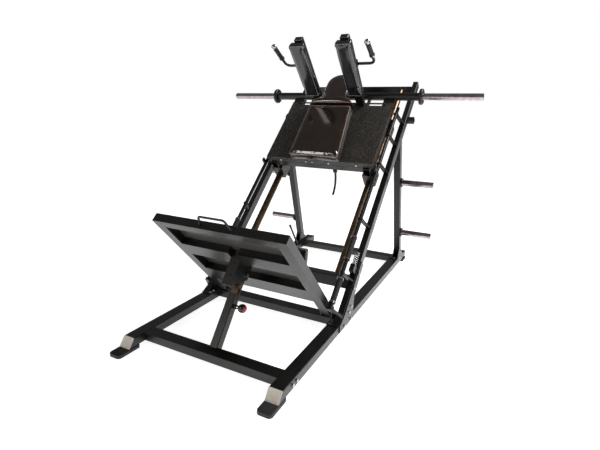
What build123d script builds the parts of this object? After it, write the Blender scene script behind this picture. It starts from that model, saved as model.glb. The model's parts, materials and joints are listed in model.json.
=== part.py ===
from build123d import *
import os
from math import atan2, cos, degrees, hypot, radians, sin, tan

# Leg press and hack squat machine, millimetres.
# +X is to the left of a user facing the foot plate, -Y is the end with the foot plate, +Z is up.
# The finished pieces are moved by centre_shift so that the origin is the middle of the footprint.

# ---- base ----
centre_shift = 498.0
base_half = 500.0            # outer face of the base rails
rail_wide = 75.0
rail_high = 50.0
base_low = 20.0              # underside of the base tubes, resting on the foot pads
base_top = base_low + rail_high
wall = 3.0
front_low_y = -1630.0        # lower and upper front corners of the mitred rail ends
front_top_y = -1592.0
rear_y = 700.0
crossmember_y = (-1482.0, -812.0, 505.0)

# ---- inclined rails ----
slope = 44.0
rail_foot_y = -912.0         # where the rails' upper faces meet the base rails' tops
incline_wide = 40.0
incline_deep = 60.0
incline_length = 2100.0

# ---- guide rods and sled ----
rod_x = 369.0
rod_n = -39.0
rod_r = 24.0
rod_clear = 0.05
sled_low = 1095.0
sled_high = 1690.0
sled_half = 420.0
deck_n = 150.0
bar_s = 1767.0
bar_n = 146.0
sleeve_r = 25.0
sleeve_tip = 1030.0

# ---- side catch bars ----
catch_x = 444.0
catch_n = 95.0
catch_r = 13.0
tab_s = (290.0, 686.0, 1152.0, 1416.0, 1636.0)

# ---- foot plate ----
plate_tilt = 47.0
plate_half = 412.0
plate_m = -565.0             # underside of the foot plate's frame, measured along its normal
hinge_y = -835.0
hinge_z = 125.0
post_pin_y = -1185.0
post_pin_z = 388.0
pin_r = 8.0

# ---- lever under the sled ----
lever_x = 118.0
lever_y = -150.0
lever_z = 862.0

a = radians(slope)
up = Vector(0, cos(a), sin(a))
normal = Vector(0, -sin(a), cos(a))
foot = Vector(0, rail_foot_y, base_top)
incline = Plane(origin=foot, x_dir=(1, 0, 0), z_dir=normal)

t = radians(plate_tilt)
plate_dir = Vector(0, -cos(t), sin(t))
plate_normal = Vector(0, sin(t), cos(t))
foot_plane = Plane(origin=plate_normal * plate_m, x_dir=(-1, 0, 0), z_dir=plate_normal)

post_angle = atan2(-(post_pin_y - hinge_y), post_pin_z - hinge_z)
post_dir = Vector(0, cos(post_angle), sin(post_angle))
post_back = Vector(0, sin(post_angle), -cos(post_angle))
post_pin = Vector(0, post_pin_y, post_pin_z)

os.makedirs("parts", exist_ok=True)


def save(builder, label):
    piece = builder.part.moved(Location((0, centre_shift, 0)))
    piece.label = label
    export_step(piece, "parts/" + label + ".step")


def on_rail(x, s, n):
    return foot + up * s + normal * n + Vector(x, 0, 0)


def rail_section(x, s, n):
    """Plane across the incline, facing up the slope: its x is -X and its y is the incline's normal."""
    return Plane(origin=on_rail(x, s, n), x_dir=(-1, 0, 0), z_dir=up)


def tube_between(plane, wide, high, length, thick=wall):
    """Rectangular tube that starts on a plane and runs along its normal."""
    with BuildPart() as tube:
        with BuildSketch(plane):
            RectangleRounded(wide, high, 4)
            RectangleRounded(wide - 2 * thick, high - 2 * thick, 2, mode=Mode.SUBTRACT)
        extrude(amount=length)
    return tube


def side_plate(points, x, thick, holes=()):
    """Flat plate cut to an outline of (y, z) points, with its near face at x."""
    with BuildPart() as plate:
        with BuildSketch(Plane.YZ.offset(x)):
            Polygon(*points, align=None)
            for y, z, r in holes:
                with Locations((y, z)):
                    Circle(r, mode=Mode.SUBTRACT)
        extrude(amount=thick)
    return plate


def under_rail(y, n=-incline_deep):
    """Height of a line parallel to the incline, n along its normal, at a given y."""
    return base_top + (y - rail_foot_y) * tan(a) + n / cos(a)


sides = (("left", -1), ("right", 1))

# ============================ base ============================
base_mid = base_half - rail_wide / 2
with BuildPart() as base_rails:
    for side, sg in sides:
        with BuildSketch(Plane.YZ.offset(sg * base_mid)):
            Polygon((front_low_y, base_low), (front_top_y, base_top), (rear_y, base_top), (rear_y, base_low), align=None)
        extrude(amount=rail_wide / 2, both=True)
    fillet(base_rails.edges().filter_by(Axis.Y), radius=4)
    for side, sg in sides:
        with BuildSketch(Plane.YZ.offset(sg * base_mid)):
            Polygon(
                (front_low_y + 7, base_low + wall), (front_top_y + 3, base_top - wall),
                (rear_y, base_top - wall), (rear_y, base_low + wall), align=None)
        extrude(amount=rail_wide / 2 - wall, both=True, mode=Mode.SUBTRACT)
save(base_rails, "base_rails")


def crossmember(y):
    start = Plane(origin=(-base_half + rail_wide, y, base_low + rail_high / 2), x_dir=(0, 1, 0), z_dir=(1, 0, 0))
    return tube_between(start, rail_wide, rail_high, 2 * (base_half - rail_wide))


save(crossmember(crossmember_y[0]), "front_crossmember")
save(crossmember(crossmember_y[2]), "rear_crossmember")

# The middle crossmember carries the four lugs that the foot plate hinges between.
lug_x = (342.0, 414.0)
lug_thick = 8.0
with BuildPart() as middle_crossmember:
    add(crossmember(crossmember_y[1]).part)
    for side, sg in sides:
        for x in lug_x:
            with BuildSketch(Plane.YZ.offset(sg * x)):
                Polygon((-846, base_top), (-790, base_top), (hinge_y + 16, hinge_z), (hinge_y - 16, hinge_z), align=None)
                with Locations((hinge_y, hinge_z)):
                    Circle(16)
                    Circle(pin_r, mode=Mode.SUBTRACT)
            extrude(amount=sg * lug_thick)
save(middle_crossmember, "middle_crossmember")

with BuildPart() as hinge_pins:
    for side, sg in sides:
        with BuildSketch(Plane.YZ.offset(sg * 338)):
            with Locations((hinge_y, hinge_z)):
                Circle(pin_r)
        extrude(amount=sg * 88)
save(hinge_pins, "hinge_pins")

with BuildPart() as foot_pads:
    with BuildSketch(Plane.XY):
        for side, sg in sides:
            with Locations((sg * base_mid, -1627)):
                RectangleRounded(rail_wide + 5, 150, 20)
            with Locations((sg * base_mid, 640)):
                RectangleRounded(95, 110, 14)
    extrude(amount=base_low)
    fillet(foot_pads.faces().sort_by(Axis.Z)[-4:].edges(), radius=4)
save(foot_pads, "foot_pads")

# Plastic caps in the rear ends of the base rails and the upper ends of the inclined rails.
rail_mid = base_half - incline_wide / 2
with BuildPart() as end_caps:
    for side, sg in sides:
        with Locations((sg * base_mid, rear_y + 3, base_low + rail_high / 2)):
            Box(rail_wide, 6, rail_high)
    chamfer(end_caps.faces().sort_by(Axis.Y)[-2:].edges(), length=2)
    with BuildSketch(rail_section(0, incline_length, -incline_deep / 2)):
        for side, sg in sides:
            with Locations((sg * rail_mid, 0)):
                Rectangle(incline_wide, incline_deep)
    extrude(amount=12)
    chamfer(end_caps.faces().sort_by(Axis((0, 0, 0), tuple(up)))[-2:].edges(), length=5)
save(end_caps, "end_caps")

# ============================ inclined rails ============================
foot_thick = 6.0
with BuildPart() as main_rails:
    with BuildSketch(rail_section(0, -120, -incline_deep / 2)):
        for side, sg in sides:
            with Locations((sg * rail_mid, 0)):
                RectangleRounded(incline_wide, incline_deep, 4)
                RectangleRounded(incline_wide - 2 * wall, incline_deep - 2 * wall, 2, mode=Mode.SUBTRACT)
    extrude(amount=incline_length + 120)
    split(bisect_by=Plane.XY.offset(base_top + foot_thick), keep=Keep.TOP)
save(main_rails, "main_rails")

# Short struts under the rails.
with BuildPart() as rail_struts:
    for side, sg in sides:
        with BuildSketch(Plane.YZ.offset(sg * rail_mid)):
            Polygon((-770, base_top), (-705, base_top), (-705, under_rail(-705)), (-770, under_rail(-770)), align=None)
        extrude(amount=incline_wide / 2, both=True)
        with BuildSketch(Plane.YZ.offset(sg * rail_mid)):
            Polygon((-767, base_top), (-708, base_top), (-708, 250), (-767, 250), align=None)
        extrude(amount=incline_wide / 2 - wall, both=True, mode=Mode.SUBTRACT)
save(rail_struts, "rail_struts")

# Plates: bolted feet of the rails and uprights, and the side plates that tie rail, strut and base.
upright_wide = 50.0
lean = 0.31                  # forward run of the uprights for each unit of height
upright_y = 486.0
foot_z = base_top + foot_thick


def lean_y(z):
    return upright_y - lean * (z - base_top)


upright_deep = upright_wide / cos(atan2(lean, 1))
front_low = (lean_y(foot_z), foot_z)
back_low = (lean_y(foot_z) + upright_deep, foot_z)
side_outline = [(-925, 30), (-712, 30), (-700, 175)]
side_outline += [(p.Y, p.Z) for p in (on_rail(0, 440, -56), on_rail(0, 440, -10), on_rail(0, 70, -10))]
side_outline += [(-925, 72)]
with BuildPart() as plates:
    for side, sg in sides:
        with Locations((sg * base_mid, -862, base_top + foot_thick / 2)):
            Box(rail_wide, 160, foot_thick)
        with Locations((sg * base_mid, 505, base_top + foot_thick / 2)):
            Box(rail_wide, 200, foot_thick)
        with BuildSketch(Plane.YZ.offset(sg * base_half)):
            Polygon(*side_outline, align=None)
        extrude(amount=sg * 6)
        for x in (base_half - 7, base_half - upright_wide + 1):
            with BuildSketch(Plane.YZ.offset(sg * x)):
                Polygon((430, foot_z), front_low, (lean_y(150), 150), (lean_y(150) - 8, 150), align=None)
                Polygon(back_low, (592, foot_z), (lean_y(120) + upright_deep + 10, 120),
                        (lean_y(120) + upright_deep, 120), align=None)
            extrude(amount=sg * 6)
save(plates, "mounting_plates")

# Crossbar between the upper ends of the rails; the guide rods end under it.
top_bar_low = 1420.0
top_bar_y = 605.0
top_bar_high = 75.0
top_bar = tube_between(
    Plane(origin=(-(base_half - incline_wide), top_bar_y, top_bar_low + top_bar_high / 2), x_dir=(0, 1, 0), z_dir=(1, 0, 0)),
    66, top_bar_high, 2 * (base_half - incline_wide))
save(top_bar, "top_crossbar")

# Lower cross tube that carries the guide rods and the seat, welded between two end brackets.
low_tube_top = 275.0
low_tube_y = -644.0
bracket_thick = 6.0
inner_rail = base_half - incline_wide
tube_start = Plane(
    origin=(-(inner_rail - bracket_thick), low_tube_y, low_tube_top - 37.5), x_dir=(0, 1, 0), z_dir=(1, 0, 0))
bracket_ends = (on_rail(0, 300, -6), on_rail(0, 450, -6))
with BuildPart() as low_tube:
    add(tube_between(tube_start, 66, 75, 2 * (inner_rail - bracket_thick)).part)
    for side, sg in sides:
        with BuildSketch(Plane.YZ.offset(sg * inner_rail)):
            Polygon((-690, 192), (-600, 192), (bracket_ends[1].Y, bracket_ends[1].Z),
                    (bracket_ends[0].Y, bracket_ends[0].Z), align=None)
        extrude(amount=-sg * bracket_thick)
save(low_tube, "lower_cross_tube")

# ============================ guide rods ============================
with BuildPart() as guide_rods:
    with BuildSketch(rail_section(0, 250, rod_n)):
        for side, sg in sides:
            with Locations((sg * rod_x, 0)):
                Circle(rod_r)
                Circle(rod_r - 5, mode=Mode.SUBTRACT)
    extrude(amount=1900)
    split(bisect_by=Plane.XY.offset(low_tube_top), keep=Keep.TOP)
    split(bisect_by=Plane.XZ.offset(-(top_bar_y - 33)), keep=Keep.TOP)
save(guide_rods, "guide_rods")

# ============================ rear uprights and storage pegs ============================
def meet_rail(offset):
    """Point where a line of the upright meets the underside of the rail."""
    start = lean_y(base_top) + offset + lean * base_top
    z = (base_top - incline_deep / cos(a) + (start - rail_foot_y) * tan(a)) / (1 + lean * tan(a))
    return start - lean * z, z


peg_z = (309.0, 752.0)
collar_long = 14.0
peg_r = 23.5
peg_tip = 752.0
front_top = meet_rail(0)
back_top = meet_rail(upright_deep)
with BuildPart() as uprights:
    for side, sg in sides:
        x = sg * (base_half - upright_wide / 2)
        with BuildSketch(Plane.YZ.offset(x)):
            Polygon(front_low, back_low, back_top, front_top, align=None)
        extrude(amount=upright_wide / 2, both=True)
        with BuildSketch(Plane.YZ.offset(x)):
            Polygon(
                (front_low[0] + wall, foot_z - 1), (back_low[0] - wall, foot_z - 1),
                (back_top[0] - wall, back_top[1] + 80), (front_top[0] + wall, front_top[1] + 80), align=None)
        extrude(amount=upright_wide / 2 - wall, both=True, mode=Mode.SUBTRACT)
        for z in peg_z:
            with BuildSketch(Plane.YZ.offset(sg * base_half)):
                with Locations((lean_y(z) + upright_deep / 2, z)):
                    Circle(36)
            extrude(amount=sg * collar_long)
save(uprights, "uprights")

with BuildPart() as storage_pegs:
    for side, sg in sides:
        for z in peg_z:
            with BuildSketch(Plane.YZ.offset(sg * (base_half + collar_long))):
                with Locations((lean_y(z) + upright_deep / 2, z)):
                    Circle(peg_r)
            extrude(amount=sg * (peg_tip - base_half - collar_long))
    chamfer(storage_pegs.faces().sort_by(Axis.X)[:2].edges() + storage_pegs.faces().sort_by(Axis.X)[-2:].edges(),
            length=2.5)
    for side, sg in sides:
        for z in peg_z:
            with BuildSketch(Plane.YZ.offset(sg * (base_half + collar_long))):
                with Locations((lean_y(z) + upright_deep / 2, z)):
                    Circle(peg_r - 3.5)
            extrude(amount=sg * (peg_tip - base_half - collar_long - 6), mode=Mode.SUBTRACT)
save(storage_pegs, "storage_pegs")

# Short bracing peg behind the left rail and the stubs on the rails' outer faces.
peg_foot = Vector(-440, 372, 52)
peg_end = Vector(-440, 204, 288)
peg_lie = (peg_end - peg_foot).normalized()
with BuildPart() as side_stubs:
    with BuildSketch(Plane(origin=peg_foot, z_dir=peg_lie)):
        Circle(9)
    extrude(amount=(peg_end - peg_foot).length)
    with BuildSketch(Plane(origin=peg_end - peg_lie * 24, z_dir=peg_lie)):
        Circle(11)
    extrude(amount=24)
    split(bisect_by=Plane.XY.offset(base_top), keep=Keep.TOP)
    for side, sg in sides:
        stub = Plane(origin=on_rail(sg * base_half, 1698, -24), x_dir=tuple(up), z_dir=(sg, 0, 0))
        with BuildSketch(stub):
            RectangleRounded(40, 38, 4)
            RectangleRounded(34, 32, 2, mode=Mode.SUBTRACT)
        extrude(amount=54)
save(side_stubs, "side_stubs")

# ============================ side catch bars ============================
# Eyes stand on the rails and hold the two bars; a block beside each bar backs its return spring.
tab_thick = 10.0
spring_start = 383.0
spring_turns = 6.5
with BuildPart() as tabs:
    for side, sg in sides:
        for s in tab_s:
            with BuildSketch(rail_section(sg * catch_x, s - tab_thick / 2, catch_n)):
                Circle(catch_r + 5)
                Polygon((sg * 14, 0), (-sg * 14, 6), (-sg * 50, -catch_n), (-sg * 22, -catch_n), align=None)
                Circle(catch_r + rod_clear, mode=Mode.SUBTRACT)
            extrude(amount=tab_thick)
        with BuildSketch(rail_section(sg * catch_x, 44, catch_n)):
            Circle(catch_r + 7)
            Polygon((sg * 12, 0), (-sg * 16, 4), (-sg * 54, -catch_n), (-sg * 20, -catch_n), align=None)
        extrude(amount=17.8)
        with BuildSketch(rail_section(sg * 478, spring_start - 50, 30)):
            Rectangle(30, 60)
        extrude(amount=50)
save(tabs, "catch_bar_tabs")

with BuildPart() as springs:
    for side, sg in sides:
        with BuildLine():
            coil = Helix(
                pitch=13, height=spring_turns * 13, radius=13,
                center=tuple(on_rail(sg * 478, spring_start + 2.8, 40)), direction=tuple(up))
        with BuildSketch(Plane(origin=coil @ 0, z_dir=coil % 0)):
            Circle(2.6)
        sweep(path=coil, is_frenet=True)
save(springs, "catch_springs")

for side, sg in sides:
    # The bar turns in the eyes; its lug swings in under the sled's lower edge.
    with BuildPart() as catch_bar:
        with BuildSketch(rail_section(sg * catch_x, 62, catch_n)):
            Circle(catch_r)
            Circle(catch_r - 3, mode=Mode.SUBTRACT)
        extrude(amount=1640)
        for s in (62, 1698):
            with BuildSketch(rail_section(sg * catch_x, s, catch_n)):
                Circle(catch_r)
            extrude(amount=4)
        with BuildSketch(rail_section(sg * catch_x, 1060, catch_n)):
            with Locations((0, catch_r + 19)):
                Rectangle(12, 42)
        extrude(amount=26)
    save(catch_bar, "catch_bar_" + side)

    with BuildPart() as grips:
        for low_s, high_s in ((104, 246), (394, 538)):
            with BuildSketch(rail_section(sg * catch_x, low_s, catch_n)):
                Circle(catch_r + 5)
                Circle(catch_r, mode=Mode.SUBTRACT)
            extrude(amount=high_s - low_s)
    save(grips, "catch_bar_grips_" + side)

    with BuildPart() as rings:
        for s in (92, 246, 382, 538):
            with BuildSketch(rail_section(sg * catch_x, s, catch_n)):
                Circle(catch_r + 8)
                Circle(catch_r, mode=Mode.SUBTRACT)
            extrude(amount=12)
    save(rings, "catch_bar_rings_" + side)

# ============================ leg press seat ============================
seat_y = -646.0
seat_z = 345.0
seat_plane = Plane(origin=(0, seat_y, seat_z), x_dir=(1, 0, 0), z_dir=(0, -cos(radians(10)), sin(radians(10))))
with BuildPart() as seat_pad:
    with BuildSketch(seat_plane):
        RectangleRounded(320, 132, 22)
    extrude(amount=46)
    fillet(seat_pad.faces().sort_by(Axis.Y)[0].edges(), radius=12)
save(seat_pad, "seat_pad")

with BuildPart() as seat_bracket:
    with BuildSketch(seat_plane.offset(-8.3)):
        with Locations((0, 4)):
            Rectangle(220, 110)
    extrude(amount=8)
    for x in (-80, 80):
        with BuildSketch(Plane.YZ.offset(x - 4)):
            Polygon((-672, 275), (-616, 275), (-624, 350), (-638, 370), align=None)
        extrude(amount=8)
    split(bisect_by=seat_plane.offset(-0.3), keep=Keep.BOTTOM)
    split(bisect_by=Plane.XY.offset(low_tube_top), keep=Keep.TOP)
save(seat_bracket, "seat_bracket")

# ============================ sled ============================
# Everything on the sled is drawn on the incline: x across, y up the slope, z off the rails.
mid_s = (sled_low + sled_high) / 2
span_s = sled_high - sled_low
with BuildPart(incline) as sled_plate:
    with Locations((0, mid_s, deck_n + 2.5)):
        Box(2 * sled_half, span_s, 5)
    for sg in (-1, 1):
        with Locations((sg * (sled_half - 2), mid_s - 25, deck_n - 20)):
            Box(4, span_s - 50, 40)
    with Locations((0, sled_low + 2, deck_n - 20)):
        Box(2 * sled_half, 4, 40)
    with BuildSketch(incline.offset(deck_n)):
        for sg in (-1, 1):
            with Locations((sg * 300, 1668)):
                SlotOverall(128, 18)
    extrude(amount=5, mode=Mode.SUBTRACT)
save(sled_plate, "sled_plate")

# Side beams and cross tubes under the deck.
beam_n = 58.0
with BuildPart(incline) as sled_beams:
    for sg in (-1, 1):
        with Locations((sg * rod_x, 1360, beam_n + 15)):
            Box(50, 560, 70)
            Box(44, 570, 64, mode=Mode.SUBTRACT)
save(sled_beams, "sled_side_beams")

with BuildPart(incline) as sled_crossbars:
    for s in (1130, 1380, 1605):
        with Locations((0, s, deck_n - 21)):
            Box(2 * (sled_half - 8), 50, 42)
            Box(2 * sled_half, 44, 36, mode=Mode.SUBTRACT)
    with Locations((0, 1112, 84)):
        Box(2 * (rod_x - 25), 34, 48)
        Box(2 * rod_x, 28, 42, mode=Mode.SUBTRACT)
    # Ears and pin for the lever that hangs under the lower rail.
    for x in (lever_x - 13, lever_x + 8):
        with BuildSketch(Plane.YZ.offset(x)):
            Polygon((lever_y - 11, lever_z), (lever_y + 11, lever_z), (lever_y + 22, lever_z + 60),
                    (lever_y - 30, lever_z + 60), align=None)
            with Locations((lever_y, lever_z)):
                Circle(11)
        extrude(amount=5)
    with BuildSketch(Plane.YZ.offset(lever_x - 15)):
        with Locations((lever_y, lever_z)):
            Circle(4)
    extrude(amount=30)
save(sled_crossbars, "sled_crossbars")

# Bearing blocks that run on the guide rods, two on each side.
with BuildPart(incline) as bearing_blocks:
    for side, sg in sides:
        for s in (1130, 1590):
            with Locations((sg * rod_x, s, rod_n + 19.5)):
                Box(84, 100, 115)
    chamfer(bearing_blocks.edges().filter_by(Axis((0, 0, 0), tuple(up))).sort_by(
        Axis((0, 0, 0), tuple(normal)))[:8], length=10)
    with BuildSketch(rail_section(0, 1000, rod_n)):
        for side, sg in sides:
            with Locations((sg * rod_x, 0)):
                Circle(rod_r + rod_clear)
    extrude(amount=800, mode=Mode.SUBTRACT)
save(bearing_blocks, "bearing_blocks")

# Loading bar: black middle tube, collar discs and chrome sleeves.
bar_r = 29.0
collar_x = 607.0
bar_at = (on_rail(0, bar_s, bar_n).Y, on_rail(0, bar_s, bar_n).Z)
with BuildPart() as loading_bar:
    with BuildSketch(Plane.YZ.offset(-(collar_x - 13))):
        with Locations(bar_at):
            Circle(bar_r)
            Circle(bar_r - 4, mode=Mode.SUBTRACT)
    extrude(amount=2 * (collar_x - 13))
save(loading_bar, "loading_bar")

with BuildPart() as bar_collars:
    for side, sg in sides:
        with BuildSketch(Plane.YZ.offset(sg * (collar_x - 13))):
            with Locations(bar_at):
                Circle(58)
        extrude(amount=sg * 26)
    fillet(bar_collars.edges().filter_by(GeomType.CIRCLE), radius=9)
save(bar_collars, "bar_collars")

with BuildPart() as sleeves:
    for side, sg in sides:
        with BuildSketch(Plane.YZ.offset(sg * (collar_x + 13))):
            with Locations(bar_at):
                Circle(sleeve_r)
        extrude(amount=sg * (sleeve_tip - collar_x - 13))
    chamfer(sleeves.faces().sort_by(Axis.X)[0].edges() + sleeves.faces().sort_by(Axis.X)[-1].edges(), length=3)
    for side, sg in sides:
        with BuildSketch(Plane.YZ.offset(sg * (collar_x + 13))):
            with Locations(bar_at):
                Circle(sleeve_r - 5)
        extrude(amount=sg * (sleeve_tip - collar_x - 13 - 8), mode=Mode.SUBTRACT)
save(sleeves, "weight_sleeves")

# Brackets from the deck frame to the loading bar.
with BuildPart(incline) as bar_brackets:
    for sg in (-1, 1):
        with Locations((sg * 215, 1710, deck_n - 21)):
            Box(8, 124, 42)
        with Locations((sg * (sled_half - 42), 1706, deck_n - 4)):
            Box(84, 92, 8)
    with BuildSketch(Plane.YZ.offset(-600)):
        with Locations(bar_at):
            Circle(bar_r)
    extrude(amount=1200, mode=Mode.SUBTRACT)
save(bar_brackets, "loading_bar_brackets")

# ============================ shoulder posts, pads and handles ============================
post_x = 170.0
post_s = 1674.0
post_top_n = 735.0
pad_x = 172.0
handle_s = 1674.0
handle_n = 522.0
handle_r = 9.5
with BuildPart(incline) as shoulder_posts:
    with BuildSketch(incline.offset(deck_n + 5)):
        for side, sg in sides:
            with Locations((sg * post_x, post_s)):
                RectangleRounded(60, 40, 4)
                RectangleRounded(54, 34, 2, mode=Mode.SUBTRACT)
    extrude(amount=post_top_n - deck_n - 5)
    for side, sg in sides:
        with Locations((sg * post_x, post_s, post_top_n + 4)):
            Box(60, 40, 8)
    chamfer(shoulder_posts.faces().sort_by(Axis((0, 0, 0), tuple(normal)))[-2:].edges(), length=4)
    for side, sg in sides:
        with Locations((sg * (post_x + 38), handle_s, handle_n)):
            Box(16, 36, 46)
        with BuildSketch(Plane.YZ.offset(sg * (post_x + 30))):
            with Locations((on_rail(0, handle_s, handle_n).Y, on_rail(0, handle_s, handle_n).Z)):
                Circle(handle_r + rod_clear)
        extrude(amount=sg * 16, mode=Mode.SUBTRACT)
save(shoulder_posts, "shoulder_posts")

for side, sg in sides:
    with BuildPart() as pad:
        with BuildSketch(incline.offset(296)):
            with Locations((sg * pad_x, 1621)):
                RectangleRounded(120, 50, 14)
        extrude(amount=440)
        fillet(pad.faces().sort_by(Axis((0, 0, 0), tuple(normal)))[-1].edges(), radius=10)
    save(pad, "shoulder_pad_" + side)

    # Release handle, turning in the boss on the post's outer side.
    root = on_rail(sg * 201, handle_s, handle_n)
    bend = on_rail(sg * 342, handle_s, handle_n)
    top = on_rail(sg * 342, handle_s - 62, handle_n + 202)
    reach = (top - bend).normalized()
    with BuildPart() as handle:
        with BuildLine():
            FilletPolyline(root, bend, top, radius=38)
        with BuildSketch(Plane(origin=root, z_dir=(sg, 0, 0))):
            Circle(handle_r)
        sweep()
    save(handle, "shoulder_handle_" + side)

    with BuildPart() as handle_grip:
        with BuildSketch(Plane(origin=top - reach * 118, z_dir=reach)):
            Circle(16)
            Circle(handle_r, mode=Mode.SUBTRACT)
        extrude(amount=106)
    save(handle_grip, "shoulder_handle_grip_" + side)

    with BuildPart() as handle_ends:
        with Locations(Location(top + reach * 6.5)):
            Sphere(19)
        with BuildSketch(Plane(origin=top - reach * 130, z_dir=reach)):
            Circle(19)
        extrude(amount=12)
        with BuildSketch(Plane(origin=top - reach * 140, z_dir=reach)):
            Circle(handle_r)
        extrude(amount=140, mode=Mode.SUBTRACT)
    save(handle_ends, "shoulder_handle_ends_" + side)

# ============================ back pad and head pad ============================
# The lower back pad is a wedge that rises towards the shoulders; the head pad lies level.
back_rise = 7.0
back_plane = Plane(
    origin=on_rail(0, 1069, 178), x_dir=(1, 0, 0),
    z_dir=(normal * cos(radians(back_rise)) - up * sin(radians(back_rise))))
back_long = 462.0
with BuildPart() as back_pad:
    with BuildSketch(back_plane):
        Polygon((-199, 0), (199, 0), (173, back_long), (-173, back_long), align=None)
    extrude(amount=62)
    fillet(back_pad.edges().filter_by(Axis((0, 0, 0), tuple(back_plane.z_dir))), radius=24)
    fillet(back_pad.faces().sort_by(Axis((0, 0, 0), tuple(back_plane.z_dir)))[-1].edges(), radius=10)
save(back_pad, "back_pad")

with BuildPart() as head_pad:
    with BuildSketch(incline.offset(238)):
        with BuildLine():
            Polyline((-173, 1537), (-97, 1610), (-97, 1745))
            ThreePointArc((-97, 1745), (0, 1846), (97, 1745))
            Polyline((97, 1745), (97, 1610), (173, 1537), (-173, 1537))
        make_face()
    extrude(amount=62)
    fillet(head_pad.faces().sort_by(Axis((0, 0, 0), tuple(normal)))[-1].edges(), radius=10)
save(head_pad, "head_pad")

# Boards behind the pads and the two ribs that hold them up off the deck.
with BuildPart() as pad_supports:
    for x in (-78, 70):
        with BuildSketch(Plane.YZ.offset(x)):
            outline = ((1110, 155), (1700, 155), (1700, 227.7), (1560, 227.7), (1110, 170))
            corners = [on_rail(0, s, n) for s, n in outline]
            Polygon(*[(c.Y, c.Z) for c in corners], align=None)
        extrude(amount=8)
    split(bisect_by=back_plane.offset(-10.3), keep=Keep.BOTTOM)
    with BuildSketch(back_plane.offset(-10.3)):
        Polygon((-180, 14), (180, 14), (158, back_long - 14), (-158, back_long - 14), align=None)
    extrude(amount=10)
    with BuildSketch(incline.offset(227.7)):
        with BuildLine():
            Polyline((-90, 1600), (-84, 1740))
            ThreePointArc((-84, 1740), (0, 1826), (84, 1740))
            Polyline((84, 1740), (90, 1600), (-90, 1600))
        make_face()
    extrude(amount=10)
    with BuildSketch(incline.offset(306)):
        for side, sg in sides:
            with Locations((sg * pad_x, 1650.15)):
                Rectangle(104, 7.7)
    extrude(amount=420)
save(pad_supports, "pad_supports")

# ============================ foot plate ============================
# Drawn in its own plane: y up the plate, z out of its standing face.
member = 60.0
member_high = 1478.0
member_deep = 45.0
span = 2 * (plate_half - member)


def plate_point(u, m):
    p = plate_dir * u + plate_normal * (plate_m + m)
    return (p.Y, p.Z)


member_outline = ((member_high, 0), (member_high, member_deep), (760, member_deep), (700, 60), (661, 64), (637, 44), (648, 0))
hollow = ((member_high - 3, 3), (member_high - 3, member_deep - 3), (740, member_deep - 3), (740, 3))
with BuildPart(foot_plane) as plate_frame:
    for side, sg in sides:
        member_mid = sg * (plate_half - member / 2)
        with BuildSketch(Plane.YZ.offset(member_mid)):
            Polygon(*[plate_point(u, m) for u, m in member_outline], align=None)
            with Locations((hinge_y, hinge_z)):
                Circle(25)
        extrude(amount=member / 2, both=True)
        with BuildSketch(Plane.YZ.offset(member_mid)):
            Polygon(*[plate_point(u, m) for u, m in hollow], align=None)
        extrude(amount=member / 2 - 3, both=True, mode=Mode.SUBTRACT)
        with BuildSketch(Plane.YZ.offset(member_mid)):
            with Locations((hinge_y, hinge_z)):
                Circle(pin_r + rod_clear)
        extrude(amount=member, both=True, mode=Mode.SUBTRACT)
        # Drain hole through the inner wall of the tube.
        with BuildSketch(Plane.YZ.offset(member_mid)):
            with Locations(plate_point(760, 20)):
                Circle(5)
        extrude(amount=-sg * member, mode=Mode.SUBTRACT)
    with Locations((0, member_high - 26, member_deep / 2)):
        Box(span, 52, member_deep)
    with Locations((0, member_high - 29, member_deep / 2 + 3)):
        Box(span, 46, member_deep, mode=Mode.SUBTRACT)
    for sg in (-1, 1):
        with Locations((sg * (span / 4 + 16), 1197, member_deep / 2)):
            Box(span / 2 - 32, 114, member_deep)
        with Locations((sg * (span / 4 + 16), 1197, member_deep / 2 + 3)):
            Box(span / 2 - 38, 108, member_deep, mode=Mode.SUBTRACT)
    with Locations((0, 892, member_deep / 2)):
        Box(span, 144, member_deep)
    with Locations((0, 892, member_deep / 2 + 3)):
        Box(span - 6, 138, member_deep, mode=Mode.SUBTRACT)
    # Joint lines where the top channel meets the side members.
    for sg in (-1, 1):
        with Locations((sg * (plate_half - member), member_high - 26, member_deep / 2)):
            Box(2, 52, member_deep, mode=Mode.SUBTRACT)
            Box(8, 49, member_deep - 2, mode=Mode.ADD)
save(plate_frame, "foot_plate_frame")

with BuildPart(foot_plane) as plate_deck:
    with Locations((0, (700 + member_high) / 2 + 32, member_deep + 2.5)):
        Box(2 * plate_half, member_high - 764, 5)
    chamfer(plate_deck.faces().sort_by(Axis((0, 0, 0), tuple(plate_normal)))[-1].edges(), length=1.5)
save(plate_deck, "foot_plate_deck")

bail_rise = 62.0
handle_points = [(-96, member_high, 22), (-78, member_high + bail_rise, 34), (78, member_high + bail_rise, 34),
                 (96, member_high, 22)]
handle_world = [foot_plane.from_local_coords(Vector(*p)) for p in handle_points]
with BuildPart() as plate_handle:
    with BuildLine():
        bail = FilletPolyline(*handle_world, radius=16)
    with BuildSketch(Plane(origin=bail @ 0, z_dir=bail % 0)):
        Circle(6)
    sweep()
    split(bisect_by=Plane(origin=plate_dir * member_high, z_dir=plate_dir), keep=Keep.TOP)
save(plate_handle, "foot_plate_handle")

# ============================ support post ============================
# Fixed outer tube on the front crossmember; its axis is tangent to the arc of the plate's bolt.
post_wide = 50.0
inner_wide = 42.0
inner_long = 300.0           # inner tube's reach below the bolt
post_top = -116.0            # along the post's axis from the bolt
pop_along = -183.0
swing_low = 12.0             # degrees the plate lowers and rises from this setting
swing_high = 8.0
swing_r = hypot(post_pin_y - hinge_y, post_pin_z - hinge_z)


def post_plane(along):
    return Plane(origin=post_pin + post_dir * along, x_dir=(1, 0, 0), z_dir=post_dir)


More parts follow.
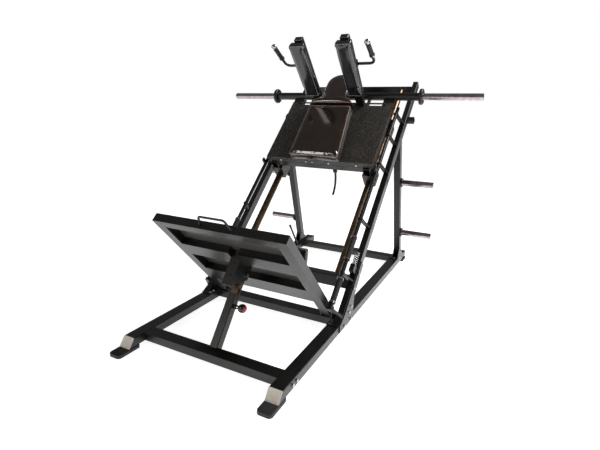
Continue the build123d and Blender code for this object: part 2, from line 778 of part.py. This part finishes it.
cross_low = Plane(origin=post_pin + post_dir * pop_along, x_dir=(0, 1, 0), z_dir=(1, 0, 0))
with BuildPart() as post_tube:
    with BuildSketch(post_plane(-460)):
        RectangleRounded(post_wide, post_wide, 5)
        Rectangle(inner_wide + 2 * rod_clear, inner_wide + 2 * rod_clear, mode=Mode.SUBTRACT)
    extrude(amount=460 + post_top)
    split(bisect_by=Plane.XY.offset(base_low), keep=Keep.TOP)
    with Locations((0, crossmember_y[0], base_low + rail_high / 2)):
        Box(2 * post_wide, rail_wide, rail_high, mode=Mode.SUBTRACT)
    with BuildSketch(cross_low.offset(post_wide / 2)):
        Circle(12)
    extrude(amount=18)
    with BuildSketch(cross_low.offset(15)):
        Circle(6.1)
    extrude(amount=40, mode=Mode.SUBTRACT)
save(post_tube, "support_post")

slot_low = pop_along - swing_r * radians(swing_high) - 8
slot_high = pop_along + swing_r * radians(swing_low) + 8
with BuildPart() as inner_post:
    with BuildSketch(post_plane(-inner_long)):
        Rectangle(inner_wide, inner_wide)
        Rectangle(inner_wide - 6, inner_wide - 6, mode=Mode.SUBTRACT)
    extrude(amount=inner_long + 16)
    with BuildSketch(Plane.YZ.offset(-40)):
        with Locations((post_pin_y, post_pin_z)):
            Circle(pin_r)
    extrude(amount=80, mode=Mode.SUBTRACT)
    slot_middle = post_pin + post_dir * ((slot_low + slot_high) / 2)
    with BuildSketch(Plane(origin=slot_middle + Vector(15, 0, 0), x_dir=post_dir, z_dir=(1, 0, 0))):
        SlotOverall(slot_high - slot_low, 12.6)
    extrude(amount=20, mode=Mode.SUBTRACT)
save(inner_post, "inner_post")

with BuildPart() as post_bolt:
    with BuildSketch(Plane.YZ.offset(-35)):
        with Locations((post_pin_y, post_pin_z)):
            Circle(pin_r)
    extrude(amount=70)
    for x in (-43, 35):
        with BuildSketch(Plane.YZ.offset(x)):
            with Locations((post_pin_y, post_pin_z)):
                RegularPolygon(13, 6)
        extrude(amount=8)
save(post_bolt, "post_bolt")

# Folded bracket under the plate. Its cheeks carry the bolt in a slot along the swing radius.
cheek_in = 26.5
cheek_thick = 5.0


def bracket_point(along, back):
    p = post_pin + post_dir * along + post_back * back
    return (p.Y, p.Z)


cheek = [bracket_point(*p) for p in ((-97, -110), (-30, 10), (-24, 28), (140, 28), (140, -110))]
slot_at = bracket_point(0, -4.6)
with BuildPart() as post_bracket:
    for x in (-cheek_in - cheek_thick, cheek_in):
        with BuildSketch(Plane.YZ.offset(x)):
            Polygon(*cheek, align=None)
            with Locations(Location((slot_at[0], slot_at[1], 0), (0, 0, degrees(atan2(post_back.Z, post_back.Y))))):
                SlotOverall(2 * pin_r + 12, 2 * pin_r + 1.2, mode=Mode.SUBTRACT)
        extrude(amount=cheek_thick)
    with BuildSketch(Plane.YZ.offset(-cheek_in)):
        Polygon(*[bracket_point(*p) for p in ((-97, -110), (-97, -105), (140, -105), (140, -110))], align=None)
    extrude(amount=2 * cheek_in)
    split(bisect_by=foot_plane.offset(member_deep), keep=Keep.BOTTOM)
    for along in (-40, 30):
        with BuildSketch(Plane(origin=post_pin + post_dir * along - post_back * 110, z_dir=-post_back)):
            RegularPolygon(7, 6)
        extrude(amount=4)
save(post_bracket, "post_bracket")

# Spring pin: plunger and ball knob.
with BuildPart() as pin_plunger:
    with BuildSketch(cross_low.offset(18.5)):
        Circle(6.05)
    extrude(amount=42)
    with BuildSketch(cross_low.offset(43.5)):
        Circle(10)
    extrude(amount=10)
save(pin_plunger, "pin_plunger")

with BuildPart(cross_low.offset(78)) as pin_knob:
    Sphere(25)
    with Locations((0, 0, -34)):
        Cylinder(30, 20, mode=Mode.SUBTRACT)
    with BuildSketch(cross_low.offset(40)):
        Circle(6.05)
    extrude(amount=20.5, mode=Mode.SUBTRACT)
save(pin_knob, "pin_knob")

# Curved lever under the sled, hanging on its pin.
with BuildPart() as sled_lever:
    with BuildLine(Plane.YZ.offset(lever_x)):
        curve = Spline((lever_y, lever_z), (lever_y + 14, lever_z - 62), (lever_y + 6, lever_z - 118),
                       (lever_y - 26, lever_z - 172))
    with BuildSketch(Plane(origin=curve @ 0, x_dir=(1, 0, 0), z_dir=curve % 0)):
        RectangleRounded(14, 16, 4)
    sweep()
    with BuildSketch(Plane.YZ.offset(lever_x - 7)):
        with Locations((lever_y, lever_z)):
            Circle(11)
    extrude(amount=14)
    with BuildSketch(Plane.YZ.offset(lever_x - 8)):
        with Locations((lever_y, lever_z)):
            Circle(4 + rod_clear)
    extrude(amount=16, mode=Mode.SUBTRACT)
save(sled_lever, "sled_lever")

# ============================ bolt heads ============================
def hex_heads(places, size=9.5, high=7.0):
    """Hexagon heads: each place is (point, direction the head stands out)."""
    with BuildPart() as heads:
        for point, out in places:
            with BuildSketch(Plane(origin=point, z_dir=out)):
                RegularPolygon(size, 6)
            extrude(amount=high)
    return heads


frame_places = []
for side, sg in sides:
    outward = (sg, 0, 0)
    for y in (crossmember_y[0], crossmember_y[2]):
        for shift in (-20, 20):
            frame_places.append(((sg * base_half, y + shift, 45), outward))
    for y in (-930, -895, -800):
        frame_places.append(((sg * 442, y, foot_z), (0, 0, 1)))
    for y, z in ((-858, 45), (-750, 45), (-784, 102), (-753, 129), (-717, 235), (-637, 300)):
        frame_places.append(((sg * (base_half + 6), y, z), outward))
    for y in (414, 590):
        frame_places.append(((sg * 470, y, foot_z), (0, 0, 1)))
save(hex_heads(frame_places), "frame_bolts")

sled_places = [(on_rail(x, sled_low, 130), -up) for x in (-300, -90, -40, 90, 300)]
for side, sg in sides:
    for s in (1095, 1165, 1555, 1625):
        sled_places.append((on_rail(sg * (rod_x + 42), s, -10), (sg, 0, 0)))
save(hex_heads(sled_places, size=7, high=5), "sled_bolts")
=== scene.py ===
import json
import math

import bmesh
import bpy
from mathutils import Matrix, Vector
from mathutils.bvhtree import BVHTree


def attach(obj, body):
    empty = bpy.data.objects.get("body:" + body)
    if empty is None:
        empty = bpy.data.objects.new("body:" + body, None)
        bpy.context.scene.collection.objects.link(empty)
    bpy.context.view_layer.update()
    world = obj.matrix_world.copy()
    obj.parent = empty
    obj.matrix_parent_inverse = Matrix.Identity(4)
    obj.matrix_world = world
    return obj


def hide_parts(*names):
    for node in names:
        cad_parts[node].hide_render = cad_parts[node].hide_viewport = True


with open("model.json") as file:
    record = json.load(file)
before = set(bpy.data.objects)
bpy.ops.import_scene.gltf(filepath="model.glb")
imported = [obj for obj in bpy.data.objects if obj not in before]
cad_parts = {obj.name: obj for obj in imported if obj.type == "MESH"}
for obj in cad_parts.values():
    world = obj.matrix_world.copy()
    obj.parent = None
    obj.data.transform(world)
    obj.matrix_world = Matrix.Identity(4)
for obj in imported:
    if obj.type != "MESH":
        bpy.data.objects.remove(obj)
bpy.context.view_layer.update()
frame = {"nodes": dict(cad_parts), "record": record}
nodes = frame["nodes"]

# ---------------------------------------------------------------- directions of the machine
SLOPE = math.radians(44)
UP = Vector((0, math.cos(SLOPE), math.sin(SLOPE)))
NORMAL = Vector((0, -math.sin(SLOPE), math.cos(SLOPE)))
RAIL_FOOT = Vector((0, -0.414, 0.070))
ACROSS = Vector((1, 0, 0))
TILT = math.radians(47)
PLATE_UP = Vector((0, -math.cos(TILT), math.sin(TILT)))
PLATE_OUT = Vector((0, math.sin(TILT), math.cos(TILT)))


def on_rail(x, s, n):
    """A point x across, s up the slope and n off the rails' upper faces."""
    return RAIL_FOOT + UP * s + NORMAL * n + ACROSS * x


# ---------------------------------------------------------------- materials
def srgb(r, g, b):
    return tuple((c / 255 / 12.92) if c <= 10 else ((c / 255 + 0.055) / 1.055) ** 2.4 for c in (r, g, b))


def material(name, dark, light, rough, metal=0.0, coat=0.0, spread=0.06, patch=9.0,
             grain=0.0, grain_scale=900.0, specular=0.5):
    """Principled surface whose colour and gloss vary a little, with an optional fine grain."""
    mat = bpy.data.materials.new(name)
    mat.use_nodes = True
    tree = mat.node_tree
    shader = tree.nodes["Principled BSDF"]
    shader.inputs["Metallic"].default_value = metal
    shader.inputs["Coat Weight"].default_value = coat
    shader.inputs["Coat Roughness"].default_value = 0.08
    shader.inputs["Specular IOR Level"].default_value = specular
    place = tree.nodes.new("ShaderNodeTexCoord")
    cloud = tree.nodes.new("ShaderNodeTexNoise")
    cloud.inputs["Scale"].default_value = patch
    cloud.inputs["Detail"].default_value = 4.0
    tree.links.new(place.outputs["Object"], cloud.inputs["Vector"])
    ramp = tree.nodes.new("ShaderNodeValToRGB")
    ramp.color_ramp.elements[0].position = 0.3
    ramp.color_ramp.elements[1].position = 0.7
    ramp.color_ramp.elements[0].color = (*dark, 1)
    ramp.color_ramp.elements[1].color = (*light, 1)
    tree.links.new(cloud.outputs["Fac"], ramp.inputs["Fac"])
    tree.links.new(ramp.outputs["Color"], shader.inputs["Base Color"])
    gloss = tree.nodes.new("ShaderNodeMapRange")
    gloss.inputs["To Min"].default_value = max(0.02, rough - spread)
    gloss.inputs["To Max"].default_value = rough + spread
    tree.links.new(cloud.outputs["Fac"], gloss.inputs["Value"])
    tree.links.new(gloss.outputs["Result"], shader.inputs["Roughness"])
    if grain:
        fine = tree.nodes.new("ShaderNodeTexNoise")
        fine.inputs["Scale"].default_value = grain_scale
        fine.inputs["Detail"].default_value = 2.0
        bump = tree.nodes.new("ShaderNodeBump")
        bump.inputs["Strength"].default_value = grain
        bump.inputs["Distance"].default_value = 0.0006
        tree.links.new(place.outputs["Object"], fine.inputs["Vector"])
        tree.links.new(fine.outputs["Fac"], bump.inputs["Height"])
        tree.links.new(bump.outputs["Normal"], shader.inputs["Normal"])
    return mat


powder = material("powder_coat", srgb(11, 11, 10), srgb(20, 19, 17), 0.36, coat=0.12, grain=0.25, specular=0.4)
powder_top = material("plate_coat", srgb(24, 23, 23), srgb(36, 35, 34), 0.42, coat=0.1, grain=0.35)
chrome = material("chrome", srgb(150, 138, 140), srgb(190, 178, 180), 0.14, metal=1.0, spread=0.05, patch=30)
rod_steel = material("guide_rod_steel", srgb(92, 74, 58), srgb(122, 102, 82), 0.3, metal=1.0,
                     spread=0.06, patch=20)
steel = material("fastener_steel", srgb(176, 176, 178), srgb(206, 206, 208), 0.28, metal=1.0, patch=60)
brown_vinyl = material("brown_vinyl", srgb(28, 17, 11), srgb(42, 27, 18), 0.13, coat=0.7, spread=0.04,
                       grain=0.06, grain_scale=500)
black_vinyl = material("black_vinyl", srgb(16, 16, 18), srgb(27, 27, 29), 0.15, coat=0.7, spread=0.05,
                       grain=0.06, grain_scale=500)
# Painted highlight: the welts are real, but their pale pinkish colour stands in for the light lines that the
# glossy pad edges catch.
piping_painted_highlight = material("piping", srgb(120, 98, 90), srgb(160, 136, 126), 0.3, coat=0.3)
grey_seam_painted_highlight = material("grey_seam_painted_highlight", srgb(104, 98, 102), srgb(140, 132, 138), 0.3, coat=0.3)
rubber = material("rubber", srgb(18, 18, 19), srgb(30, 30, 31), 0.62, grain=0.5, grain_scale=400)
plastic = material("black_plastic", srgb(28, 28, 28), srgb(40, 40, 40), 0.45, grain=0.2)
board = material("painted_board", srgb(18, 18, 18), srgb(30, 29, 28), 0.55)
knob_red = material("knob_red", srgb(150, 10, 24), srgb(190, 22, 38), 0.18, coat=0.6)


def speckled(name):
    """Rough dark coating with fine light flecks, as on the sled's deck."""
    mat = material(name, srgb(24, 22, 20), srgb(36, 33, 30), 0.5, grain=0.9, grain_scale=260)
    tree = mat.node_tree
    shader = tree.nodes["Principled BSDF"]
    base = shader.inputs["Base Color"].links[0].from_socket
    place = next(n for n in tree.nodes if n.type == "TEX_COORD")
    flecks = tree.nodes.new("ShaderNodeTexNoise")
    flecks.inputs["Scale"].default_value = 170
    flecks.inputs["Detail"].default_value = 1.0
    cut = tree.nodes.new("ShaderNodeMapRange")
    cut.inputs["From Min"].default_value = 0.56
    cut.inputs["From Max"].default_value = 0.70
    mix = tree.nodes.new("ShaderNodeMix")
    mix.data_type = "RGBA"
    mix.inputs["B"].default_value = (*srgb(112, 104, 92), 1)
    tree.links.new(place.outputs["Object"], flecks.inputs["Vector"])
    tree.links.new(flecks.outputs["Fac"], cut.inputs["Value"])
    tree.links.new(cut.outputs["Result"], mix.inputs["Factor"])
    tree.links.new(base, mix.inputs["A"])
    tree.links.new(mix.outputs["Result"], shader.inputs["Base Color"])
    return mat


deck_coat = speckled("speckled_coat")

LOOKS = {
    "powder_black": powder, "deck_coating": deck_coat, "chrome": chrome, "guide_rod_steel": rod_steel,
    "fasteners": steel, "vinyl_brown": brown_vinyl, "vinyl_black": black_vinyl, "rubber_black": rubber,
    "plastic_black": plastic, "board": board, "knob_red": knob_red,
}
slot_of = {part["node"]: part["material_slot"] for part in frame["record"]["subparts"]}
for name, obj in nodes.items():
    obj.data.materials.clear()
    obj.data.materials.append(LOOKS[slot_of[name]])
nodes["foot_plate_deck"].data.materials[0] = powder_top
worn_steel = material("worn_steel", srgb(66, 54, 42), srgb(104, 84, 64), 0.34, metal=0.7, patch=30)
nodes["inner_post"].data.materials[0] = worn_steel


def paint_faces(node, mat, chosen):
    """Gives another finish to the faces of a CAD node for which chosen(centre, normal) holds."""
    mesh = nodes[node].data
    mesh.materials.append(mat)
    for face in mesh.polygons:
        if chosen(face.center, face.normal):
            face.material_index = len(mesh.materials) - 1


mitre = material("mitre_label", srgb(222, 212, 198), srgb(240, 232, 220), 0.6, patch=60,
                 grain=0.5, grain_scale=500)
MITRE_Y = -1.09
KNOB_BAND_X = (0.064, 0.096)
paint_faces("base_rails", mitre, lambda c, n: c.y < MITRE_Y and n.y < -0.5)
# Painted light: the deck's underside faces get a lighter coat, standing in for light reaching the recesses
# under the foot plate.
painted_lit_underside = material("painted_lit_underside", srgb(50, 49, 46), srgb(66, 64, 60), 0.45, patch=6, grain=0.3)
paint_faces("foot_plate_deck", painted_lit_underside, lambda c, n: n.dot(PLATE_OUT) < -0.5)
knob_black = material("knob_black", srgb(14, 14, 14), srgb(24, 24, 24), 0.15, coat=0.6)
paint_faces("pin_knob", knob_black, lambda c, n: KNOB_BAND_X[0] < c.x < KNOB_BAND_X[1])

# Small bevels catch the light on the steel edges.
BEVELLED = (
    "mounting_plates", "sled_plate", "foot_plate_deck", "foot_plate_frame", "bearing_blocks",
    "sled_side_beams", "sled_crossbars", "loading_bar_brackets", "catch_bar_tabs", "rail_struts",
    "post_bracket", "seat_bracket", "uprights", "middle_crossmember", "inner_post")
for name in BEVELLED:
    bevel = nodes[name].modifiers.new("edges", "BEVEL")
    bevel.width = 0.0015
    bevel.segments = 2
    bevel.limit_method = "ANGLE"
    bevel.angle_limit = math.radians(40)


# ---------------------------------------------------------------- floor, light and camera
def plane(name, size, location, mat):
    mesh = bpy.data.meshes.new(name)
    h = size / 2
    mesh.from_pydata([(-h, -h, 0), (h, -h, 0), (h, h, 0), (-h, h, 0)], [], [(0, 1, 2, 3)])
    obj = bpy.data.objects.new(name, mesh)
    bpy.context.scene.collection.objects.link(obj)
    obj.location = location
    mesh.materials.append(mat)
    return obj


floor_mat = material("floor", (0.86, 0.86, 0.86), (0.9, 0.9, 0.9), 0.7, patch=2, specular=0.1)
floor_shader = floor_mat.node_tree.nodes["Principled BSDF"]
floor_shader.inputs["Emission Color"].default_value = (1, 1, 1, 1)
floor_shader.inputs["Emission Strength"].default_value = 0.88
plane("floor", 60, (0, 0, -0.001), floor_mat)


def area(name, place, target, size, power, colour=(1, 1, 1), tall=None):
    lamp = bpy.data.lights.new(name, "AREA")
    lamp.energy = power
    lamp.size = size
    if tall:
        lamp.shape = "RECTANGLE"
        lamp.size_y = tall
    lamp.color = colour
    obj = bpy.data.objects.new(name, lamp)
    bpy.context.scene.collection.objects.link(obj)
    obj.location = place
    obj.rotation_euler = (Vector(target) - Vector(place)).to_track_quat("-Z", "Y").to_euler()
    return obj


area("key", (3.0, 2.4, 5.0), (0, 0, 0.6), 2.2, 270)
area("front_left", (-2.6, -5.0, 2.6), (0, -0.6, 0.6), 0.7, 42, colour=(1.0, 0.93, 0.9), tall=2.0)
area("right_strip", (5.0, -1.5, 3.0), (0, 0, 0.8), 0.5, 45, tall=2.5)

# The backdrop is white to the camera and dim to the machine, so that black steel stays black.
world = bpy.data.worlds.new("studio")
bpy.context.scene.world = world
world.use_nodes = True
sky = world.node_tree
back = sky.nodes["Background"]
back.inputs["Color"].default_value = (1, 1, 1, 1)
seen = sky.nodes.new("ShaderNodeLightPath")
dim = sky.nodes.new("ShaderNodeMapRange")
dim.inputs["To Min"].default_value = 0.16
dim.inputs["To Max"].default_value = 1.0
sky.links.new(seen.outputs["Is Camera Ray"], dim.inputs["Value"])
sky.links.new(dim.outputs["Result"], back.inputs["Strength"])
bpy.context.scene.view_settings.view_transform = "Standard"

camera = bpy.data.objects.new("camera", bpy.data.cameras.new("camera"))
bpy.context.scene.collection.objects.link(camera)
yaw, pitch, roll = (math.radians(v) for v in (26.7055, 15.098, -1.3354))
ahead = Vector((-math.sin(yaw) * math.cos(pitch), math.cos(yaw) * math.cos(pitch), -math.sin(pitch)))
level = Vector((math.cos(yaw), math.sin(yaw), 0))
down = ahead.cross(level)
right = level * math.cos(roll) + down * math.sin(roll)
below = down * math.cos(roll) - level * math.sin(roll)
turn = Matrix((right, -below, -ahead)).transposed().to_4x4()
camera.matrix_world = Matrix.Translation((1.27283, -2.502, 1.27325)) @ turn
camera.data.sensor_width = 36
camera.data.lens = 25.061
camera.data.clip_start = 0.05
camera.data.clip_end = 200
bpy.context.scene.camera = camera


# ---------------------------------------------------------------- cushions
VOXEL = 0.006
CLOTH_FRAMES = 20
SMOOTHING = 9


def clean_copy(name, node):
    mesh = nodes[node].data.copy()
    mesh.name = name
    mesh.materials.clear()
    obj = bpy.data.objects.new(name, mesh)
    bpy.context.scene.collection.objects.link(obj)
    work = bmesh.new()
    work.from_mesh(mesh)
    bmesh.ops.remove_doubles(work, verts=work.verts, dist=1e-5)
    work.to_mesh(mesh)
    work.free()
    return obj


def apply_modifiers(obj):
    evaluated = obj.evaluated_get(bpy.context.evaluated_depsgraph_get())
    mesh = bpy.data.meshes.new_from_object(evaluated)
    obj.modifiers.clear()
    old = obj.data
    obj.data = mesh
    bpy.data.meshes.remove(old)


def cushion(name, node, body, origin, out, mat, shrink=0.003, cap=0.008, pressure=4.0, held=0.012):
    """Swells a copy of the CAD block as padded vinyl. The face on the board, at origin, stays put."""
    obj = clean_copy(name, node)
    remesh = obj.modifiers.new("remesh", "REMESH")
    remesh.mode = "VOXEL"
    remesh.voxel_size = VOXEL
    apply_modifiers(obj)
    mesh = obj.data
    depth = {}
    start = []
    normals = [v.normal.copy() for v in mesh.vertices]
    for v in mesh.vertices:
        from_back = (v.co - origin).dot(out)
        depth[v.index] = from_back
        if from_back > held:
            v.co -= normals[v.index] * shrink
        else:
            side = normals[v.index] - out * normals[v.index].dot(out)
            v.co -= side * shrink
        start.append(v.co.copy())
    group = obj.vertex_groups.new(name="held")
    group.add([i for i, d in depth.items() if d < held], 1.0, "REPLACE")
    cloth = obj.modifiers.new("cloth", "CLOTH")
    settings = cloth.settings
    settings.quality = 6
    settings.mass = 0.3
    settings.tension_stiffness = 12
    settings.compression_stiffness = 12
    settings.shear_stiffness = 6
    settings.bending_stiffness = 3.0
    settings.use_pressure = True
    settings.uniform_pressure_force = pressure
    settings.vertex_group_mass = "held"
    settings.effector_weights.gravity = 0
    cloth.collision_settings.use_collision = False
    cloth.point_cache.frame_start = 1
    cloth.point_cache.frame_end = CLOTH_FRAMES
    for step in range(1, CLOTH_FRAMES + 1):
        bpy.context.scene.frame_set(step)
    apply_modifiers(obj)
    for v in obj.data.vertices:
        move = v.co - start[v.index]
        if move.length > cap:
            v.co = start[v.index] + move * (cap / move.length)
    bpy.context.scene.frame_set(1)
    obj.vertex_groups.clear()
    smooth = obj.modifiers.new("smooth", "SMOOTH")
    smooth.factor = 0.5
    smooth.iterations = SMOOTHING
    fine = obj.modifiers.new("fine", "SUBSURF")
    fine.levels = 1
    fine.render_levels = 1
    apply_modifiers(obj)
    obj.data.materials.clear()
    obj.data.materials.append(mat)
    for face in obj.data.polygons:
        face.use_smooth = True
    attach(obj, body)
    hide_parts(node)
    return obj


def piping(name, pad, points, mat, body, radius=0.0028, proud=0.0012):
    """A welt laid round a cushion: each point is dropped onto the cushion's skin."""
    tree = BVHTree.FromPolygons([v.co for v in pad.data.vertices], [p.vertices for p in pad.data.polygons])
    placed = []
    for point in points:
        spot, face_normal, _, _ = tree.find_nearest(point)
        placed.append(spot + face_normal * proud)
    curve = bpy.data.curves.new(name, "CURVE")
    curve.dimensions = "3D"
    curve.bevel_depth = radius
    curve.bevel_resolution = 3
    spline = curve.splines.new("POLY")
    spline.points.add(len(placed) - 1)
    for spot, item in zip(placed, spline.points):
        item.co = (*spot, 1)
    spline.use_cyclic_u = True
    curve.materials.append(mat)
    obj = bpy.data.objects.new(name, curve)
    bpy.context.scene.collection.objects.link(obj)
    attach(obj, body)
    return obj


def rounded_outline(corners, radius, step=0.012):
    """Closed outline through the corners, in a plane, with rounded corners and evenly spread points."""
    count = len(corners)
    path = []
    for i, corner in enumerate(corners):
        before = Vector(corners[i - 1]) - Vector(corner)
        after = Vector(corners[(i + 1) % count]) - Vector(corner)
        r = min(radius, before.length / 2.2, after.length / 2.2)
        start = Vector(corner) + before.normalized() * r
        end = Vector(corner) + after.normalized() * r
        for k in range(7):
            f = k / 6
            path.append(start * (1 - f) ** 2 + Vector(corner) * 2 * f * (1 - f) + end * f ** 2)
    dense = []
    for i, p in enumerate(path):
        q = path[(i + 1) % len(path)]
        pieces = max(1, int((q - p).length / step))
        dense += [p.lerp(q, k / pieces) for k in range(pieces)]
    return dense


BACK_RISE = math.radians(7)
back_out = NORMAL * math.cos(BACK_RISE) - UP * math.sin(BACK_RISE)
back_up = back_out.cross(ACROSS)
back_at = on_rail(0, 1.069, 0.178)
head_at = on_rail(0, 0, 0.238)
back_pad = cushion("back_cushion", "back_pad", "sled", back_at, back_out, brown_vinyl)
head_pad = cushion("head_cushion", "head_pad", "sled", head_at, NORMAL, brown_vinyl)

back_corners = [(-0.197, 0.002), (0.197, 0.002), (0.171, 0.46), (-0.171, 0.46)]
back_outline = [back_at + ACROSS * x + back_up * y + back_out * 0.056
                for x, y in rounded_outline(back_corners, 0.03)]
piping("back_piping", back_pad, back_outline, piping_painted_highlight, "sled")

head_corners = [(-0.171, 1.539), (-0.096, 1.61), (-0.096, 1.745)]
head_corners += [(-0.096 * math.cos(k * math.pi / 8), 1.745 + 0.1 * math.sin(k * math.pi / 8))
                 for k in range(1, 8)]
head_corners += [(0.096, 1.745), (0.096, 1.61), (0.171, 1.539)]
head_outline = [on_rail(x, s, 0.294) for x, s in rounded_outline(head_corners, 0.02)]
piping("head_piping", head_pad, head_outline, piping_painted_highlight, "sled")

for side, sg in (("left", -1), ("right", 1)):
    at = on_rail(sg * 0.172, 1.646, 0.3)
    pad = cushion("shoulder_cushion_" + side, "shoulder_pad_" + side, "sled", at, -UP, black_vinyl)
    outline = [on_rail(sg * 0.172 + x, 1.600, n) for x, n in rounded_outline(
        [(-0.057, 0.300), (0.057, 0.300), (0.057, 0.732), (-0.057, 0.732)], 0.02)]
    # The shoulder welts' pale grey is a painted highlight along the pad edges.
    piping("shoulder_piping_" + side, pad, outline, grey_seam_painted_highlight, "sled", radius=0.0022)

SEAT_LEAN = math.radians(10)
seat_out = Vector((0, -math.cos(SEAT_LEAN), math.sin(SEAT_LEAN)))
seat_up = seat_out.cross(ACROSS)
seat_at = Vector((0, -0.148, 0.345))
seat_pad = cushion("seat_cushion", "seat_pad", "frame", seat_at, seat_out, brown_vinyl)
seat_corners = [(-0.158, -0.064), (0.158, -0.064), (0.158, 0.064), (-0.158, 0.064)]
seat_outline = [seat_at + ACROSS * x + seat_up * y + seat_out * 0.04
                for x, y in rounded_outline(seat_corners, 0.024)]
piping("seat_piping", seat_pad, seat_outline, piping_painted_highlight, "frame")
